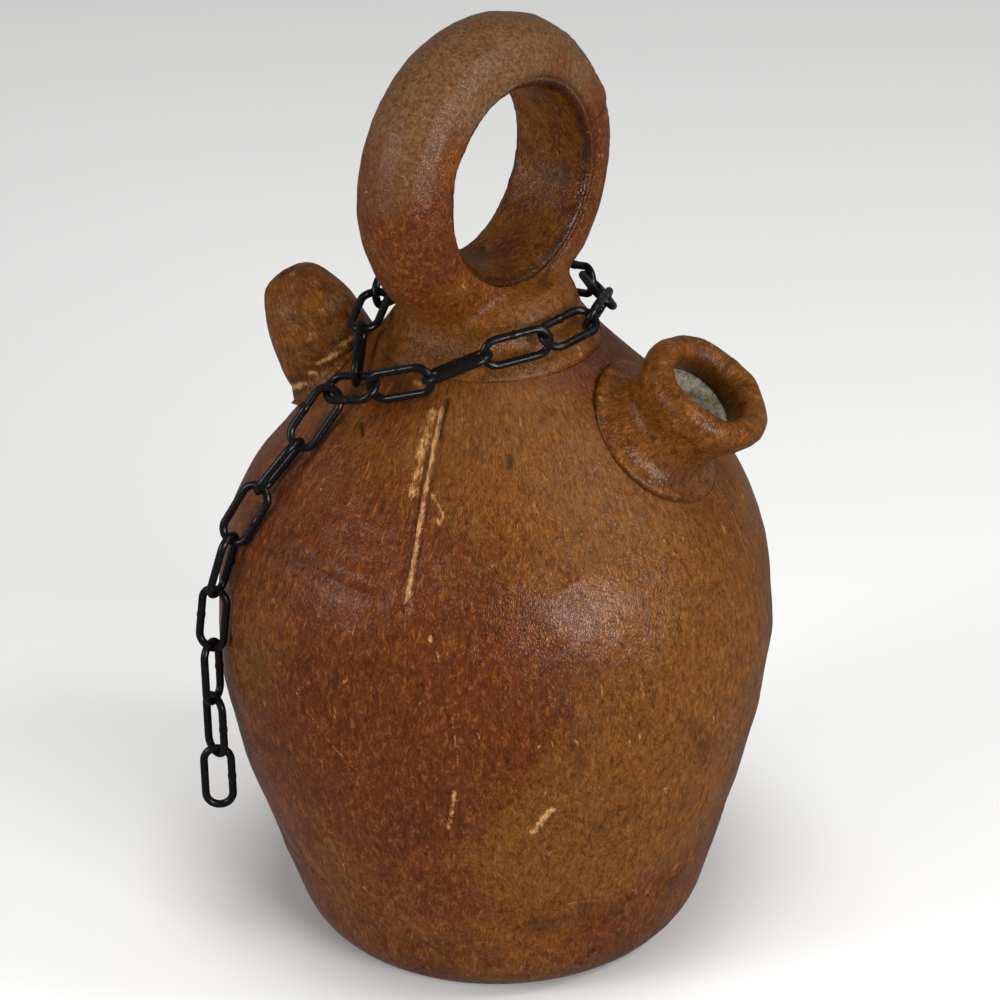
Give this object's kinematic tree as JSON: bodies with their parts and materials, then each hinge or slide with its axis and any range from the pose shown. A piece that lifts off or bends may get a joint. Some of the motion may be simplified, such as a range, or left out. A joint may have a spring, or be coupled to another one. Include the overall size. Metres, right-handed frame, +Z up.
{
  "type": "pilgrim flask",
  "caption": "Leather-covered clay water jug with a ring handle, a wide filling spout, a narrow drinking spout and a black steel chain noosed round its neck",
  "frame": {"origin": "centre of the flat foot, on the surface that the jug stands on", "axes": "+Z up along the turned body's axis; the two spouts lie in the XZ plane, the wide filling spout towards +X and the narrow drinking spout towards -X; the picture's camera is on the -Y side"},
  "size_m": [0.186, 0.1857, 0.3194],
  "materials": {
    "fired_clay": "matt, gritty, unglazed grey-white clay with dark specks",
    "brown_leather": "waxed red-brown hide with ochre patches, fine grain, scuffs and a soft sheen",
    "ochre_leather": "handled ochre-brown hide, darker at its edges, soft sheen",
    "black_steel": "semi-gloss black paint on round steel wire"
  },
  "bodies": {
    "jug": {"clay_vessel": "fired_clay", "base_cup": "brown_leather", "front_left_panel": "brown_leather", "front_right_panel": "brown_leather", "rear_left_panel": "brown_leather", "rear_right_panel": "brown_leather", "handle_cover": "brown_leather", "handle_bore_liner": "ochre_leather", "filling_spout_sleeve": "ochre_leather", "drinking_spout_sleeve": "ochre_leather"},
    "junction_link": {"junction_link": "black_steel"},
    "noose_link_01": {"noose_link_01": "black_steel"},
    "noose_link_02": {"noose_link_02": "black_steel"},
    "noose_link_03": {"noose_link_03": "black_steel"},
    "noose_link_04": {"noose_link_04": "black_steel"},
    "noose_link_05": {"noose_link_05": "black_steel"},
    "noose_link_06": {"noose_link_06": "black_steel"},
    "noose_link_07": {"noose_link_07": "black_steel"},
    "noose_link_08": {"noose_link_08": "black_steel"},
    "noose_link_09": {"noose_link_09": "black_steel"},
    "noose_link_10": {"noose_link_10": "black_steel"},
    "noose_link_11": {"noose_link_11": "black_steel"},
    "noose_link_12": {"noose_link_12": "black_steel"},
    "noose_link_13": {"noose_link_13": "black_steel"},
    "tail_link_01": {"tail_link_01": "black_steel"},
    "tail_link_02": {"tail_link_02": "black_steel"},
    "tail_link_03": {"tail_link_03": "black_steel"},
    "tail_link_04": {"tail_link_04": "black_steel"},
    "tail_link_05": {"tail_link_05": "black_steel"},
    "tail_link_06": {"tail_link_06": "black_steel"},
    "tail_link_07": {"tail_link_07": "black_steel"},
    "tail_link_08": {"tail_link_08": "black_steel"}
  },
  "joints": [
    {"name": "junction_link_rock", "type": "hinge", "parent": "jug", "child": "junction_link", "pos_m": [-0.02989, -0.04143, 0.20558], "axis": [-0.9115, 0.2954, -0.2861], "range_deg": [0, 10]},
    {"name": "noose_link_01_rock", "type": "hinge", "parent": "jug", "child": "noose_link_01", "pos_m": [-0.01134, -0.04395, 0.21147], "axis": [0.9512, 0.0378, 0.3061], "range_deg": [-6, 12]},
    {"name": "noose_link_02_rock", "type": "hinge", "parent": "jug", "child": "noose_link_02", "pos_m": [0.00637, -0.0394, 0.21812], "axis": [0.8288, 0.4257, 0.3631], "range_deg": [-12, 12]},
    {"name": "noose_link_03_rock", "type": "hinge", "parent": "jug", "child": "noose_link_03", "pos_m": [0.02223, -0.02887, 0.22301], "axis": [0.7655, 0.6296, 0.1329], "range_deg": [-4, 12]},
    {"name": "noose_link_04_rock", "type": "hinge", "parent": "jug", "child": "noose_link_04", "pos_m": [0.03357, -0.01363, 0.22493], "axis": [0.3756, 0.9249, 0.0594], "range_deg": [-12, 5]},
    {"name": "noose_link_05_rock", "type": "hinge", "parent": "jug", "child": "noose_link_05", "pos_m": [0.0357, 0.00524, 0.22415], "axis": [-0.144, 0.9807, -0.132], "range_deg": [-12, 12]},
    {"name": "noose_link_06_rock", "type": "hinge", "parent": "jug", "child": "noose_link_06", "pos_m": [0.02851, 0.02301, 0.22212], "axis": [-0.5928, 0.8023, -0.0703], "range_deg": [-12, 3]},
    {"name": "noose_link_07_rock", "type": "hinge", "parent": "jug", "child": "noose_link_07", "pos_m": [0.01537, 0.03618, 0.21878], "axis": [-0.7749, 0.5676, -0.2782], "range_deg": [-4, 12]},
    {"name": "noose_link_08_rock", "type": "hinge", "parent": "jug", "child": "noose_link_08", "pos_m": [-0.00194, 0.04213, 0.21494], "axis": [-0.9916, 0.0516, -0.1182], "range_deg": [-12, 12]},
    {"name": "noose_link_09_rock", "type": "hinge", "parent": "jug", "child": "noose_link_09", "pos_m": [-0.02033, 0.03802, 0.21385], "axis": [-0.8782, -0.4782, 0.009], "range_deg": [-12, 12]},
    {"name": "noose_link_10_rock", "type": "hinge", "parent": "jug", "child": "noose_link_10", "pos_m": [-0.03371, 0.02482, 0.21534], "axis": [-0.4905, -0.86, 0.1407], "range_deg": [-12, 12]},
    {"name": "noose_link_11_rock", "type": "hinge", "parent": "jug", "child": "noose_link_11", "pos_m": [-0.0385, 0.0067, 0.21894], "axis": [0.0105, -0.9744, 0.2247], "range_deg": [-12, 12]},
    {"name": "noose_link_12_rock", "type": "hinge", "parent": "jug", "child": "noose_link_12", "pos_m": [-0.03649, -0.01258, 0.2194], "axis": [0.1888, -0.9667, -0.1726], "range_deg": [-12, 12]},
    {"name": "noose_link_13_rock", "type": "hinge", "parent": "jug", "child": "noose_link_13", "pos_m": [-0.03212, -0.03044, 0.21271], "axis": [0.2519, -0.8261, -0.5041], "range_deg": [-8, 12]},
    {"name": "tail_link_01_swing", "type": "hinge", "parent": "junction_link", "child": "tail_link_01", "pos_m": [-0.03872, -0.04182, 0.2005], "axis": [-0.1567, 0.8772, -0.4539], "range_deg": [0, 45]},
    {"name": "tail_link_02_swing", "type": "hinge", "parent": "tail_link_01", "child": "tail_link_02", "pos_m": [-0.04618, -0.05057, 0.18595], "axis": [-0.8395, 0.1309, 0.5274], "range_deg": [0, 45]},
    {"name": "tail_link_03_swing", "type": "hinge", "parent": "tail_link_02", "child": "tail_link_03", "pos_m": [-0.05706, -0.05736, 0.17062], "axis": [-0.0095, 0.9651, -0.2616], "range_deg": [0, 45]},
    {"name": "tail_link_04_swing", "type": "hinge", "parent": "tail_link_03", "child": "tail_link_04", "pos_m": [-0.06622, -0.06191, 0.15346], "axis": [-0.9683, 0.0657, 0.2411], "range_deg": [0, 45]},
    {"name": "tail_link_05_swing", "type": "hinge", "parent": "tail_link_04", "child": "tail_link_05", "pos_m": [-0.07086, -0.06493, 0.13425], "axis": [0.0467, 0.9976, -0.0517], "range_deg": [0, 45]},
    {"name": "tail_link_06_swing", "type": "hinge", "parent": "tail_link_05", "child": "tail_link_06", "pos_m": [-0.07301, -0.06568, 0.1144], "axis": [-0.9986, 0.0524, 0.0019], "range_deg": [-3, 45]},
    {"name": "tail_link_07_swing", "type": "hinge", "parent": "tail_link_06", "child": "tail_link_07", "pos_m": [-0.07288, -0.06562, 0.09443], "axis": [0.4695, 0.8829, 0], "range_deg": [-12, 45]},
    {"name": "tail_link_08_swing", "type": "hinge", "parent": "tail_link_07", "child": "tail_link_08", "pos_m": [-0.07288, -0.06562, 0.07445], "axis": [-0.4305, 0.9026, 0], "range_deg": [-12, 45]}
  ]
}
